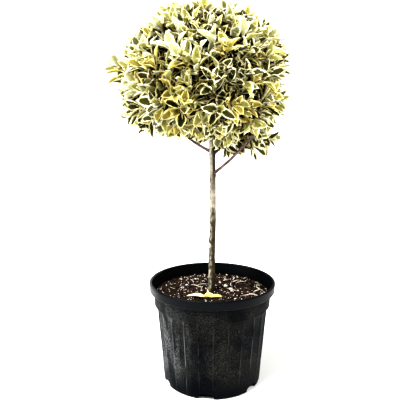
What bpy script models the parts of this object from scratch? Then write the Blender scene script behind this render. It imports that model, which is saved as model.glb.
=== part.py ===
# Potted standard spindle, a variegated evergreen clipped to a ball on a clear stem.
# Metres, +Z up, origin on the ground under the middle of the pot, front of the plant towards -Y.
import math
import random

import bmesh
import bpy
from mathutils import Vector

# Clearance left between two pieces that touch
GAP = 0.0003

# Points nearer than this are one point
MERGE = 0.000001

# Pot
POT_HEIGHT = 0.245
POT_SIDES = 48
LIP_RADIUS = 0.150
LIP_INNER_RADIUS = 0.1435
LIP_DEPTH = 0.021
COLLAR_TOP_RADIUS = 0.1398
COLLAR_FOOT_RADIUS = 0.1378
LIP_FLARE = 0.0012
LIP_UNDERCUT = 0.002
LEDGE_HEIGHT = 0.190
LEDGE_DROP = 0.004
BODY_TOP_RADIUS = 0.1328
BODY_FOOT_RADIUS = 0.1165
BASE_RADIUS = 0.1135
BASE_CORNER = 0.006
BASE_SWELL = 0.0019
WALL = 0.0024
FLOOR = 0.004
FOOT_RING_HEIGHT = 0.017
FOOT_RING_INNER_RADIUS = 0.098
RIB_STEP = 15.0
RIB_START = -90.0
RIB_HEIGHT = 0.0011
RIB_TOLERANCE = 0.1
NOTCH_COUNT = 6
NOTCH_START = -98.0
NOTCH_WIDTH = 0.036
NOTCH_HEIGHT = 0.013
NOTCH_DEPTH = 0.014
NOTCH_OVERSHOOT = 0.01

# Compost
SOIL_HEIGHT = 0.219
SOIL_EDGE_DROP = 0.003
SOIL_SIDE_SLACK = 0.0001
SOIL_ROUGHNESS = 0.0016
SOIL_SIDES = 28
SOIL_RINGS = (0.112, 0.082, 0.050)
SOIL_FLAT_RADIUS = 0.014

# Trunk
TRUNK_X = 0.0002
TRUNK_SIDES = 16
TRUNK_RINGS = 15
TRUNK_FOOT_RADIUS = 0.0080
TRUNK_TOP_RADIUS = 0.0062
TRUNK_TOP_HEIGHT = 0.700
TRUNK_WAVE = 0.0012
TRUNK_WAVE_LENGTH = 0.27
FLARE = 0.0028
FLARE_HEIGHT = 0.014
FLARE_LOBES = 4
FLARE_LOBE_DEPTH = 0.16

# Boughs: sides, radii at the trunk and at the tip
BOUGH_SIDES = 8
BOUGH_RINGS = 6
BOUGH_ROOT_RADIUS = 0.0034
BOUGH_TIP_RADIUS = 0.0027
BOUGH_BEND = 0.05
BOUGH_FIRST_STRETCH = 0.003
SEAT_SEARCH = 0.05
SEAT_STEPS = 40

# Crown: its middle, half width, half heights, and how square its profile is above and below
CROWN_CENTRE = Vector((-0.018, 0.0, 0.735))
CROWN_RADIUS = 0.207
CROWN_RISE = 0.148
CROWN_DROP = 0.160
CROWN_POWER_UP = 2.3
CROWN_POWER_DOWN = 3.0

# Lobes of the crown: azimuth and elevation in degrees, share of the reach added, width in degrees.
# The left side slopes and the right side is steep; two narrow tufts stick out to the sides.
LOBES = (
    (0.0, 0.0, -0.04, 20.0),
    (0.0, 24.0, -0.06, 20.0),
    (0.0, 48.0, -0.05, 20.0),
    (0.0, 72.0, 0.08, 20.0),
    (180.0, 84.0, -0.26, 20.0),
    (180.0, 60.0, 0.15, 20.0),
    (180.0, 36.0, -0.26, 20.0),
    (180.0, 12.0, -0.04, 20.0),
    (180.0, -1.0, 0.26, 12.0),
    (0.0, 10.0, 0.17, 11.0),
    (180.0, -36.0, 0.07, 20.0),
    (0.0, -72.0, 0.28, 20.0),
    (0.0, -46.0, 0.24, 22.0),
    (0.0, -24.0, -0.15, 18.0),
    (75.0, 8.0, 0.03, 26.0),
    (-80.0, 22.0, 0.03, 24.0),
    (-100.0, -35.0, 0.03, 22.0),
    (60.0, 42.0, -0.03, 22.0),
)

# Masses: rings of foliage, each with its names, first azimuth, distance from the axis and height
LOW_RING = ("left", "front", "front_right", "back_right", "back")
LOW_START = 180.0
LOW_OUT = 0.108
LOW_HEIGHT = 0.682
HIGH_RING = ("front_left", "front_right", "back_right", "back_left")
HIGH_START = -135.0
HIGH_OUT = 0.108
HIGH_HEIGHT = 0.790
TOP_HEIGHT = 0.822
MASS_GAP = 0.0016
CORE_SHARE = 0.70
CORE_MARGIN = 0.004
CORE_LONGEST = 0.3
CORE_SHORTEST = 0.01
CORE_STEP = 0.002
STEM_STRAIGHT = 0.010

# Boughs by mass: height on the trunk, then the tip's azimuth, distance from the crown's axis, height
BOUGHS = {
    "low_left": (0.551, 180.0, 0.048, 0.592),
    "low_front": (0.578, -108.0, 0.047, 0.617),
    "low_front_right": (0.500, -23.0, 0.118, 0.596),
    "low_back_right": (0.545, 28.0, 0.076, 0.590),
    "low_back": (0.572, 108.0, 0.050, 0.612),
    "high_front_left": (0.622, -135.0, 0.054, 0.738),
    "high_front_right": (0.638, -45.0, 0.056, 0.744),
    "high_back_right": (0.630, 45.0, 0.054, 0.738),
    "high_back_left": (0.646, 135.0, 0.055, 0.746),
}

# Twigs and leaves
TWIG_TIPS = 84
TWIG_SIDES = 3
TWIG_ROOT_RADIUS = 0.0030
TWIG_TIP_RADIUS = 0.0021
TWIG_START_SHARE = 0.30
TWIG_CLEARANCE = 0.005
TIP_INSET = 0.62
LEAF_LENGTH = 0.060
LEAF_WIDTH = 0.030
LEAF_THICKNESS = 0.0020
LEAF_FOLD = 0.0035
LEAF_WAIST = 0.52
LEAF_SINK = 0.0012
LEAF_TIP_LIFT = 0.06
LEAF_TIERS = (
    (0.97, 32.0, 0.95),
    (0.86, 62.0, 1.0),
    (0.72, 84.0, 1.0),
)
LEAF_TRIES = 4
GOLDEN_TURN = math.pi * (3.0 - math.sqrt(5.0))
SEED = 11


def polar(azimuth, out, height, centre=(0.0, 0.0)):
    """Point at an azimuth in degrees, a distance from a vertical axis, and a height."""
    turn = math.radians(azimuth)
    return Vector((centre[0] + out * math.cos(turn), centre[1] + out * math.sin(turn), height))


def material(name, colour, roughness, metallic=0.0):
    made = bpy.data.materials.new(name)
    made.use_nodes = True
    made.diffuse_color = (*colour, 1.0)
    shader = made.node_tree.nodes["Principled BSDF"]
    shader.inputs["Base Color"].default_value = (*colour, 1.0)
    shader.inputs["Roughness"].default_value = roughness
    shader.inputs["Metallic"].default_value = metallic
    return made


def add_object(name, bm, finish, smooth_angle=None):
    """Turn a bmesh into a named object with one material."""
    mesh = bpy.data.meshes.new(name)
    bm.to_mesh(mesh)
    bm.free()
    mesh.materials.append(finish)
    if smooth_angle is not None:
        mesh.shade_smooth()
        mesh.set_sharp_from_angle(angle=math.radians(smooth_angle))
    made = bpy.data.objects.new(name, mesh)
    bpy.context.scene.collection.objects.link(made)
    return made


def turned(profile, sides, start):
    """Body of revolution from (radius, height) points that begin and end on the axis."""
    bm = bmesh.new()
    first = math.radians(start)
    points = [bm.verts.new((r * math.cos(first), r * math.sin(first), z)) for r, z in profile]
    edges = [bm.edges.new(pair) for pair in zip(points, points[1:])]
    bmesh.ops.spin(bm, geom=points + edges, cent=(0, 0, 0), axis=(0, 0, 1),
                   angle=math.tau, steps=sides, use_merge=True)
    bmesh.ops.remove_doubles(bm, verts=bm.verts, dist=MERGE)
    bmesh.ops.recalc_face_normals(bm, faces=bm.faces)
    return bm


def arc(centre, radius, start, end, steps):
    """Points of a round corner in the (radius, height) plane, angles in degrees."""
    turns = [math.radians(start + (end - start) * i / steps) for i in range(steps + 1)]
    return [(centre[0] + radius * math.cos(t), centre[1] + radius * math.sin(t)) for t in turns]


def wall_radius(height):
    """Outer radius of the tapering body at a height."""
    share = (height - BASE_CORNER) / (LEDGE_HEIGHT - BASE_CORNER)
    return BODY_FOOT_RADIUS + (BODY_TOP_RADIUS - BODY_FOOT_RADIUS) * share


def pot_outside():
    """Outer profile of the pot, from the middle of its underside up to the top of the lip."""
    lip_foot = POT_HEIGHT - LIP_DEPTH
    round_over = 0.5 * (LIP_RADIUS - LIP_INNER_RADIUS)
    lip_middle = (LIP_INNER_RADIUS + round_over, POT_HEIGHT - round_over)
    return [
        (0.0, 0.0),
        (BASE_RADIUS - 0.5 * BASE_CORNER, 0.0),
        (BASE_RADIUS, 0.0),
        (BASE_RADIUS + BASE_SWELL, 0.25 * BASE_CORNER),
        (BODY_FOOT_RADIUS, BASE_CORNER),
        (wall_radius(0.5 * LEDGE_HEIGHT), 0.5 * LEDGE_HEIGHT),
        (wall_radius(LEDGE_HEIGHT - LEDGE_DROP), LEDGE_HEIGHT - LEDGE_DROP),
        (COLLAR_FOOT_RADIUS, LEDGE_HEIGHT),
        (COLLAR_TOP_RADIUS, lip_foot - LIP_UNDERCUT),
        (LIP_RADIUS - LIP_FLARE, lip_foot),
        *arc(lip_middle, round_over, 0.0, 180.0, 5),
    ]


def pot_inside():
    """Inner profile, from under the lip down to the middle of the floor."""
    return [
        (COLLAR_TOP_RADIUS - WALL, POT_HEIGHT - LIP_DEPTH),
        (COLLAR_FOOT_RADIUS - WALL, LEDGE_HEIGHT),
        (BODY_TOP_RADIUS - WALL, LEDGE_HEIGHT - LEDGE_DROP),
        (BODY_FOOT_RADIUS - WALL, FOOT_RING_HEIGHT),
        (FOOT_RING_INNER_RADIUS, FOOT_RING_HEIGHT),
        (FOOT_RING_INNER_RADIUS, FLOOR),
        (0.0, FLOOR),
    ]


def raise_ribs(bm):
    """Lift the rib lines of the outer wall by moving the vertices that stand on them."""
    low, high = 0.5 * BASE_CORNER, LEDGE_HEIGHT - 0.5 * LEDGE_DROP
    for vert in bm.verts:
        out = math.hypot(vert.co.x, vert.co.y)
        if not low < vert.co.z < high or out < wall_radius(vert.co.z) - 0.5 * WALL:
            continue
        turn = (math.degrees(math.atan2(vert.co.y, vert.co.x)) - RIB_START) % RIB_STEP
        if min(turn, RIB_STEP - turn) < RIB_TOLERANCE:
            stretch = 1.0 + RIB_HEIGHT / out
            vert.co.x *= stretch
            vert.co.y *= stretch


def notch_cutters(finish):
    """Arched blocks, one body each in a single hidden object, that cut the notches of the foot."""
    bm = bmesh.new()
    half = 0.5 * NOTCH_WIDTH
    shoulder = 0.35 * NOTCH_HEIGHT
    outline = [(-half, -NOTCH_OVERSHOOT), (-half, shoulder)]
    for step in range(1, 6):
        turn = math.pi * (1.0 - step / 6)
        outline.append((half * math.cos(turn), shoulder + (NOTCH_HEIGHT - shoulder) * math.sin(turn)))
    outline += [(half, shoulder), (half, -NOTCH_OVERSHOOT)]
    near, far = BODY_FOOT_RADIUS - NOTCH_DEPTH, BODY_FOOT_RADIUS + NOTCH_OVERSHOOT
    for number in range(NOTCH_COUNT):
        turn = math.radians(NOTCH_START + number * 360.0 / NOTCH_COUNT)
        outward = Vector((math.cos(turn), math.sin(turn), 0.0))
        sideways = Vector((-math.sin(turn), math.cos(turn), 0.0))
        inner = [bm.verts.new(outward * near + sideways * x + Vector((0, 0, z))) for x, z in outline]
        face = bm.faces.new(inner)
        grown = bmesh.ops.extrude_face_region(bm, geom=[face])["geom"]
        moved = [item for item in grown if isinstance(item, bmesh.types.BMVert)]
        bmesh.ops.translate(bm, verts=moved, vec=outward * (far - near))
    bmesh.ops.recalc_face_normals(bm, faces=bm.faces)
    cutters = add_object("notch_cutters", bm, finish)
    cutters.hide_render = True
    cutters.display_type = "WIRE"
    return cutters


def build_pot():
    plastic = material("pot_plastic", (0.018, 0.021, 0.024), 0.55)
    bm = turned(pot_outside() + pot_inside(), POT_SIDES, RIB_START)
    raise_ribs(bm)
    pot = add_object("pot", bm, plastic, smooth_angle=35)
    cut = pot.modifiers.new("notches", "BOOLEAN")
    cut.operation = "DIFFERENCE"
    cut.solver = "EXACT"
    cut.object = notch_cutters(plastic)


def build_soil():
    """Compost filling the pot, its top a little uneven, flat where the trunk stands."""
    chance = random.Random(SEED)
    side = GAP + SOIL_SIDE_SLACK
    edge = SOIL_HEIGHT - SOIL_EDGE_DROP
    collar = COLLAR_FOOT_RADIUS + (COLLAR_TOP_RADIUS - COLLAR_FOOT_RADIUS) * (
        (edge - LEDGE_HEIGHT) / (POT_HEIGHT - LIP_DEPTH - LEDGE_HEIGHT))
    profile = [
        (0.0, FLOOR + GAP),
        (FOOT_RING_INNER_RADIUS - side, FLOOR + GAP),
        (FOOT_RING_INNER_RADIUS - side, FOOT_RING_HEIGHT + GAP),
        (BODY_FOOT_RADIUS - WALL - side, FOOT_RING_HEIGHT + GAP),
        (BODY_TOP_RADIUS - WALL - side, LEDGE_HEIGHT - LEDGE_DROP + GAP),
        (COLLAR_FOOT_RADIUS - WALL - side, LEDGE_HEIGHT + GAP),
        (collar - WALL - side, edge),
        *[(out, SOIL_HEIGHT) for out in SOIL_RINGS],
        (SOIL_FLAT_RADIUS, SOIL_HEIGHT),
        (0.0, SOIL_HEIGHT),
    ]
    bm = turned(profile, SOIL_SIDES, 0.0)
    for vert in sorted(bm.verts, key=lambda v: tuple(v.co)):
        out = math.hypot(vert.co.x, vert.co.y)
        if vert.co.z > 0.5 * (edge + SOIL_HEIGHT) and out > 2.0 * SOIL_FLAT_RADIUS:
            vert.co.z += chance.uniform(-SOIL_ROUGHNESS, SOIL_ROUGHNESS)
    compost = material("compost", (0.035, 0.022, 0.015), 0.95)
    add_object("soil", bm, compost)


def trunk_axis(height):
    """Middle of the trunk at a height, with its slight waves."""
    turn = math.tau * (height - SOIL_HEIGHT) / TRUNK_WAVE_LENGTH
    return Vector((TRUNK_X - TRUNK_WAVE * math.sin(turn), TRUNK_WAVE * math.sin(0.7 * turn), height))


def trunk_radius(height, turn=0.0):
    """Radius of the trunk at a height and an angle in radians: taper, flare and its lobes."""
    share = (height - SOIL_HEIGHT) / (TRUNK_TOP_HEIGHT - SOIL_HEIGHT)
    flare = math.exp(-(height - SOIL_HEIGHT) / FLARE_HEIGHT)
    plain = TRUNK_FOOT_RADIUS + (TRUNK_TOP_RADIUS - TRUNK_FOOT_RADIUS) * share + FLARE * flare
    return plain * (1.0 + FLARE_LOBE_DEPTH * flare * math.cos(FLARE_LOBES * turn))


def skin_rings(bm, rings, end_centres=(None, None)):
    """Join rings of vertices to a closed tube; an end is one face, or a fan round a centre."""
    sides = len(rings[0])
    for low, high in zip(rings, rings[1:]):
        for i in range(sides):
            j = (i + 1) % sides
            bm.faces.new((low[i], low[j], high[j], high[i]))
    for ring, centre in zip((rings[0], rings[-1]), end_centres):
        if centre is None:
            bm.faces.new(ring)
            continue
        for i in range(sides):
            bm.faces.new((ring[i], ring[(i + 1) % sides], centre))
    bmesh.ops.recalc_face_normals(bm, faces=bm.faces)


def build_trunk():
    bm = bmesh.new()
    rings = []
    foot = SOIL_HEIGHT + GAP
    for ring in range(TRUNK_RINGS):
        share = (ring / (TRUNK_RINGS - 1)) ** 1.5
        height = foot + (TRUNK_TOP_HEIGHT - foot) * share
        middle = trunk_axis(height)
        turns = [math.tau * i / TRUNK_SIDES for i in range(TRUNK_SIDES)]
        rings.append([bm.verts.new(
            middle + trunk_radius(height, t) * Vector((math.cos(t), math.sin(t), 0.0))) for t in turns])
    skin_rings(bm, rings)
    bark = material("trunk_bark", (0.33, 0.31, 0.25), 0.85)
    add_object("trunk", bm, bark, smooth_angle=60)


def across(direction):
    """Two unit vectors square to a direction, the second as upright as can be."""
    side = direction.cross(Vector((0.0, 0.0, 1.0)))
    if side.length < MERGE:
        side = Vector((1.0, 0.0, 0.0))
    side.normalize()
    return side, side.cross(direction).normalized()


def ring_offsets(direction, radius, sides, start=0.0):
    side, up = across(direction)
    turns = [start + math.tau * i / sides for i in range(sides)]
    return [radius * (math.cos(t) * side + math.sin(t) * up) for t in turns]


def seat_on_trunk(point, direction):
    """Slide a point along a direction until it lies just clear of the trunk's surface."""
    near, far = 0.0, SEAT_SEARCH
    for _ in range(SEAT_STEPS):
        middle = 0.5 * (near + far)
        spot = point + direction * middle
        out = (spot - trunk_axis(spot.z)).length
        if out < trunk_radius(spot.z) + GAP:
            near = middle
        else:
            far = middle
    return point + direction * far


def bough_tip(name):
    _, azimuth, out, height = BOUGHS[name]
    return polar(azimuth, out, height, CROWN_CENTRE)


def bough_path(name):
    """Middle line of a bough, from the trunk's axis to its tip, bending upwards on the way."""
    start = trunk_axis(BOUGHS[name][0])
    tip = bough_tip(name)
    bend = Vector((0.0, 0.0, -BOUGH_BEND)) * (tip - start).length
    points = []
    for i in range(BOUGH_RINGS):
        share = i / (BOUGH_RINGS - 1)
        points.append(start.lerp(tip, share) + bend * 4.0 * share * (1.0 - share))
    return points


def bough_end_direction(name):
    points = bough_path(name)
    return (points[-1] - points[-2]).normalized()


def build_bough(name, finish):
    """A bough from its end, cut to the trunk's surface, to its tip under a mass."""
    path = bough_path(name)
    start_direction = (path[1] - path[0]).normalized()
    bm = bmesh.new()
    rings = []
    for radius in (0.5 * BOUGH_ROOT_RADIUS, BOUGH_ROOT_RADIUS):
        root = [seat_on_trunk(path[0] + offset, start_direction)
                for offset in ring_offsets(start_direction, radius, BOUGH_SIDES)]
        rings.append([bm.verts.new(point) for point in root])
    reach_of_root = max((point - path[0]).length for point in root)
    for i in range(1, BOUGH_RINGS):
        share = i / (BOUGH_RINGS - 1)
        if (path[i] - path[0]).length < reach_of_root + BOUGH_FIRST_STRETCH:
            continue
        radius = BOUGH_ROOT_RADIUS + (BOUGH_TIP_RADIUS - BOUGH_ROOT_RADIUS) * share
        back = path[i] - path[i - 1]
        on = path[min(i + 1, BOUGH_RINGS - 1)] - path[i]
        along = (back if on.length == 0.0 else back + on).normalized()
        rings.append([bm.verts.new(path[i] + offset)
                      for offset in ring_offsets(along, radius, BOUGH_SIDES)])
    middle = bm.verts.new(seat_on_trunk(path[0], start_direction))
    skin_rings(bm, rings, (middle, None))
    add_object("bough_" + name, bm, finish, smooth_angle=60)


def angle_between(azimuth, elevation, direction):
    level = math.cos(math.radians(elevation))
    pole = Vector((level * math.cos(math.radians(azimuth)), level * math.sin(math.radians(azimuth)),
                   math.sin(math.radians(elevation))))
    return math.degrees(math.acos(max(-1.0, min(1.0, pole.dot(direction)))))


def reach(direction):
    """Distance from the crown's middle to its outline along a unit direction."""
    level = math.hypot(direction.x, direction.y) / CROWN_RADIUS
    rise = CROWN_RISE if direction.z > 0 else CROWN_DROP
    power = CROWN_POWER_UP if direction.z > 0 else CROWN_POWER_DOWN
    plain = (level ** power + (abs(direction.z) / rise) ** power) ** (-1.0 / power)
    swell = 1.0
    for azimuth, elevation, gain, width in LOBES:
        swell += gain * math.exp(-(angle_between(azimuth, elevation, direction) / width) ** 2)
    return plain * swell


def depth_in_crown(point):
    """Share of the reach at which a point lies: 0 in the middle, 1 on the outline."""
    away = point - CROWN_CENTRE
    return away.length / reach(away.normalized())


def mass_hearts():
    """Name and middle of each mass of foliage."""
    hearts = {}
    for ring, names, start, out, height in (
            ("low_", LOW_RING, LOW_START, LOW_OUT, LOW_HEIGHT),
            ("high_", HIGH_RING, HIGH_START, HIGH_OUT, HIGH_HEIGHT)):
        for number, name in enumerate(names):
            azimuth = start + number * 360.0 / len(names)
            hearts[ring + name] = polar(azimuth, out, height, CROWN_CENTRE)
    hearts["top"] = Vector((CROWN_CENTRE.x, CROWN_CENTRE.y, TOP_HEIGHT))
    return hearts


def cell_planes(name, hearts):
    """Planes half way to the other masses: each a point and a normal that points away."""
    planes = []
    for other, heart in hearts.items():
        if other != name:
            away = (heart - hearts[name]).normalized()
            middle = 0.5 * (heart + hearts[name])
            planes.append((middle - away * 0.5 * MASS_GAP, away))
    return planes


def limb_segments():
    """Every stretch of trunk and bough as two ends and a radius."""
    heights = [SOIL_HEIGHT + (TRUNK_TOP_HEIGHT - SOIL_HEIGHT) * i / 12 for i in range(13)]
    segments = [(trunk_axis(a), trunk_axis(b), trunk_radius(a)) for a, b in zip(heights, heights[1:])]
    for name in BOUGHS:
        path = bough_path(name)
        segments += [(a, b, BOUGH_ROOT_RADIUS) for a, b in zip(path, path[1:])]
    return segments


def nearest_on(segment, point):
    start, end, _ = segment
    along = end - start
    share = (point - start).dot(along) / along.length_squared
    return start + along * max(0.0, min(1.0, share))


def inside_cell(points, planes):
    return all((point - spot).dot(normal) < 0.0 for point in points for spot, normal in planes)


def clear_of_limbs(start, end, segments, start_margin, end_margin):
    """True if a stretch keeps its margins, one at each end and the larger between, from limbs."""
    steps = 10
    for i in range(steps + 1):
        margin = (start_margin, max(start_margin, end_margin), end_margin)[(i > 1) + (i > 8)]
        point = start.lerp(end, i / steps)
        for segment in segments:
            if (nearest_on(segment, point) - point).length < segment[2] + margin:
                return False
    return True


def limb_planes(heart, segments):
    """Planes that keep a convex body round the heart clear of every limb."""
    planes = []
    for segment in segments:
        spot = nearest_on(segment, heart)
        towards = (spot - heart).normalized()
        planes.append((spot - towards * segment[2], towards))
    return planes


def core_reach(heart, direction, planes):
    """How far a mass's core runs from its heart along a direction."""
    distance = CORE_LONGEST
    for spot, normal in planes:
        slope = direction.dot(normal)
        if slope > 0.0:
            distance = min(distance, (spot - heart).dot(normal) / slope - CORE_MARGIN)
    while distance > CORE_SHORTEST and depth_in_crown(heart + direction * distance) > CORE_SHARE:
        distance -= CORE_STEP
    return distance


def core_mesh(heart, planes):
    bm = bmesh.new()
    bmesh.ops.create_icosphere(bm, subdivisions=2, radius=1.0)
    for vert in bm.verts:
        direction = vert.co.normalized()
        vert.co = heart + direction * core_reach(heart, direction, planes)
    return bm


def tube_mesh(path, radii, sides, start=0.0):
    bm = bmesh.new()
    rings = []
    for i, point in enumerate(path):
        along = (path[min(i + 1, len(path) - 1)] - path[max(i - 1, 0)]).normalized()
        rings.append([bm.verts.new(point + offset)
                      for offset in ring_offsets(along, radii[i], sides, start)])
    skin_rings(bm, rings)
    return bm


def leaf_points(root, along, up, scale):
    """Six points of a folded leaf: root, tip, two edges, upper and lower side."""
    length = LEAF_LENGTH * scale
    side = along.cross(up) * (0.5 * LEAF_WIDTH * scale)
    waist = root + along * (LEAF_WAIST * length)
    half = up * (0.5 * LEAF_THICKNESS)
    fold = up * LEAF_FOLD
    tip = root + along * length + up * (LEAF_TIP_LIFT * length)
    return [root, tip, waist + side + fold, waist - side + fold, waist + half, waist - half]


def leaf_mesh(points):
    bm = bmesh.new()
    root, tip, left, right, top, bottom = [bm.verts.new(point) for point in points]
    for end in (root, tip):
        for a, b in ((left, top), (top, right), (right, bottom), (bottom, left)):
            bm.faces.new((end, a, b))
    bmesh.ops.recalc_face_normals(bm, faces=bm.faces)
    return bm


def twig_tips():
    """Twig tips spread evenly over the crown, a leaf's length inside its outline."""
    tips = []
    for number in range(TWIG_TIPS):
        rise = 1.0 - 2.0 * (number + 0.5) / TWIG_TIPS
        level = math.sqrt(1.0 - rise * rise)
        turn = GOLDEN_TURN * number
        direction = Vector((level * math.cos(turn), level * math.sin(turn), rise))
        tips.append(CROWN_CENTRE + direction * (reach(direction) - TIP_INSET * LEAF_LENGTH))
    return tips


def leaves_on(heart, tip, chance, fits):
    """Opposite pairs of leaves on a twig, each pair turned a quarter from the last.

    A leaf that does not fit is tried again at other slants and a little smaller, then skipped.
    """
    along = (tip - heart).normalized()
    side, up = across(along)
    turn = chance.uniform(0.0, math.pi)
    for share, spread, size in LEAF_TIERS:
        node = heart.lerp(tip, share)
        for half_turn in (0.0, math.pi):
            for attempt in range(LEAF_TRIES):
                around = turn + half_turn + chance.uniform(-0.3, 0.3) * (1 + attempt)
                out = math.cos(around) * side + math.sin(around) * up
                lean = math.radians(spread * (1.0 - 0.2 * attempt) + chance.uniform(-8.0, 8.0))
                leaf_along = math.cos(lean) * along + math.sin(lean) * out
                face = (along - along.dot(leaf_along) * leaf_along).normalized()
                scale = size * chance.uniform(0.92, 1.05) * (1.0 - 0.1 * attempt)
                root = node - leaf_along * LEAF_SINK
                points = leaf_points(root, leaf_along, face, scale)
                if fits(points):
                    yield points
                    break
        turn += 0.5 * math.pi


def main_shell(mesh):
    """Keep the largest shell of a fused mesh, filling sealed hollows and dropping scraps."""
    bm = bmesh.new()
    bm.from_mesh(mesh)
    bm.faces.ensure_lookup_table()
    left = set(bm.faces)
    shells = []
    while left:
        front = [left.pop()]
        shell = []
        while front:
            face = front.pop()
            shell.append(face)
            for edge in face.edges:
                for other in edge.link_faces:
                    if other in left:
                        left.remove(other)
                        front.append(other)
        shells.append(shell)
    shells.sort(key=len)
    for shell in shells[:-1]:
        bmesh.ops.delete(bm, geom=shell, context="FACES")
    bm.to_mesh(mesh)
    bm.free()


def fuse(name, body, additions, finish):
    """Join the additions to the body with one union, applied, then remove what was joined."""
    whole = add_object(name, body, finish)
    joined = bpy.data.collections.new(name + "_parts")
    bpy.context.scene.collection.children.link(joined)
    for bm in additions:
        piece = add_object("piece", bm, finish)
        bpy.context.scene.collection.objects.unlink(piece)
        joined.objects.link(piece)
    union = whole.modifiers.new("union", "BOOLEAN")
    union.operation = "UNION"
    union.solver = "EXACT"
    union.operand_type = "COLLECTION"
    union.collection = joined
    view = bpy.context.evaluated_depsgraph_get()
    fused = bpy.data.meshes.new_from_object(whole.evaluated_get(view))
    whole.modifiers.clear()
    whole.data = fused
    main_shell(fused)
    for piece in list(joined.objects):
        bpy.data.objects.remove(piece)
    bpy.data.collections.remove(joined)


def mass_stem(name):
    """Where a mass's stem starts, clear of the limb that carries it, and its direction."""
    if name == "top":
        return trunk_axis(TRUNK_TOP_HEIGHT) + Vector((0.0, 0.0, GAP)), Vector((0.0, 0.0, 1.0))
    direction = bough_end_direction(name)
    return bough_tip(name) + direction * GAP, direction


def build_mass(name, hearts, tips, segments, finish):
    chance = random.Random(SEED + sorted(hearts).index(name))
    heart = hearts[name]
    planes = cell_planes(name, hearts)
    start, direction = mass_stem(name)
    radius = TRUNK_TOP_RADIUS if name == "top" else BOUGH_TIP_RADIUS
    stem = [start, start + direction * STEM_STRAIGHT, heart]
    additions = [tube_mesh(stem, (radius, radius, 0.8 * radius), BOUGH_SIDES)]

    def fits(points):
        in_reach = all(depth_in_crown(point) < 1.0 for point in points)
        return in_reach and inside_cell(points, planes) and clear_of_limbs(
            points[0], points[1], segments, TWIG_CLEARANCE, 0.5 * LEAF_WIDTH)

    for tip in tips:
        nearest = min(hearts, key=lambda other: (hearts[other] - tip).length)
        if nearest != name:
            continue
        path = [heart.lerp(tip, TWIG_START_SHARE), tip]
        if not inside_cell([tip], planes):
            continue
        if not clear_of_limbs(*path, segments, TWIG_CLEARANCE, TWIG_CLEARANCE):
            continue
        turn = chance.uniform(0.0, 2.0)
        additions.append(tube_mesh(path, (TWIG_ROOT_RADIUS, TWIG_TIP_RADIUS), TWIG_SIDES, turn))
        additions += [leaf_mesh(points) for points in leaves_on(heart, tip, chance, fits)]
    core = core_mesh(heart, planes + limb_planes(heart, segments))
    fuse("foliage_" + name, core, additions, finish)


def main():
    for old in list(bpy.data.objects):
        bpy.data.objects.remove(old)
    build_pot()
    build_soil()
    build_trunk()
    bough_bark = material("bough_bark", (0.16, 0.085, 0.055), 0.8)
    for name in BOUGHS:
        build_bough(name, bough_bark)
    hearts = mass_hearts()
    segments = limb_segments()
    tips = twig_tips()
    leaves = material("variegated_leaves", (0.52, 0.55, 0.22), 0.5)
    for name in hearts:
        build_mass(name, hearts, tips, segments, leaves)


main()
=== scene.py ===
import math
import random

import bpy
import numpy as np
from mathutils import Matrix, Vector, noise


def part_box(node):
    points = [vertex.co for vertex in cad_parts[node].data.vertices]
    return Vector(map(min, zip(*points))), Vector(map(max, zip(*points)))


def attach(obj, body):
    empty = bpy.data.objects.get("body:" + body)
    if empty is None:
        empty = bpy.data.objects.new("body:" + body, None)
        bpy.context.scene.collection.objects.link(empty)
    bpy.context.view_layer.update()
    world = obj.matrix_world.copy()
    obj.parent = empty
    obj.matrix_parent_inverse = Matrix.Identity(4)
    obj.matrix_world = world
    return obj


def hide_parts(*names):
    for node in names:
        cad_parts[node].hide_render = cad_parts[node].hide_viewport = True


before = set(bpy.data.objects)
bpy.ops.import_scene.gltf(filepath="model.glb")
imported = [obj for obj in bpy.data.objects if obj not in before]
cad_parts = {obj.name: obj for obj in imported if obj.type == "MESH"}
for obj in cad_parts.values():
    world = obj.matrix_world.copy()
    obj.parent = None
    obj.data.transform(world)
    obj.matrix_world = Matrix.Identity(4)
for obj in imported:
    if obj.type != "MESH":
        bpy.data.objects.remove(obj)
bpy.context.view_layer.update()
bpy.ops.object.select_all(action="DESELECT")

# Pot, from the frame and the sizes of its profile
POT_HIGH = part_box("pot")[1]
POT_HEIGHT = POT_HIGH.z
LIP_RADIUS = POT_HIGH.x
LIP_INNER_RADIUS = 0.1435
LIP_DEPTH = 0.021
LIP_FLARE = 0.0012
COLLAR_TOP_RADIUS = 0.1398
COLLAR_FOOT_RADIUS = 0.1378
LEDGE_HEIGHT = 0.190
LEDGE_DROP = 0.004
BODY_TOP_RADIUS = 0.1328
BODY_FOOT_RADIUS = 0.1165
BASE_CORNER = 0.006
WALL = 0.0024
FLOOR = 0.004
MIDDLE_RADIUS = 0.01
FOOT_RING_HEIGHT = 0.017
FOOT_RING_INNER_RADIUS = 0.098
POT_SIDES = 240
RIB_STEP = 15.0
RIB_START = -90.0
FLUTE_DEPTH = 0.0021
FLUTE_POWER = 0.45
NOTCH_COUNT = 6
NOTCH_START = -98.0
NOTCH_WIDTH = 0.036
NOTCH_LENGTH = 0.040
NOTCH_HEIGHT = 0.013
NOTCH_DEPTH = 0.016
INSIDE_DROP = 0.004

# Compost and what lies on it
SOIL_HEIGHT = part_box("trunk")[0].z - 0.0003
SOIL_EDGE_DROP = 0.003
SOIL_SIDES = 168
SOIL_RINGS = 58
# Size and height of its larger and its smaller lumps
SOIL_LUMPS = ((0.014, 0.0048), (0.0045, 0.00264))
SOIL_GAP = 0.0004
LITTER_REACH = 0.1345
LITTER_SEED = 5
CHIP_FORMS = 6
CHIP_COUNT = 1900
GRIT_COUNT = 240
# Share of each finish among the chips: dark, brown, red and pale
CHIP_SHARES = (0.50, 0.26, 0.15, 0.09)
STRAND_COUNT = 24
STRAND_BENDS = (-0.22, -0.08, 0.1, 0.25)
STRAND_LEAST = 0.03
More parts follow.
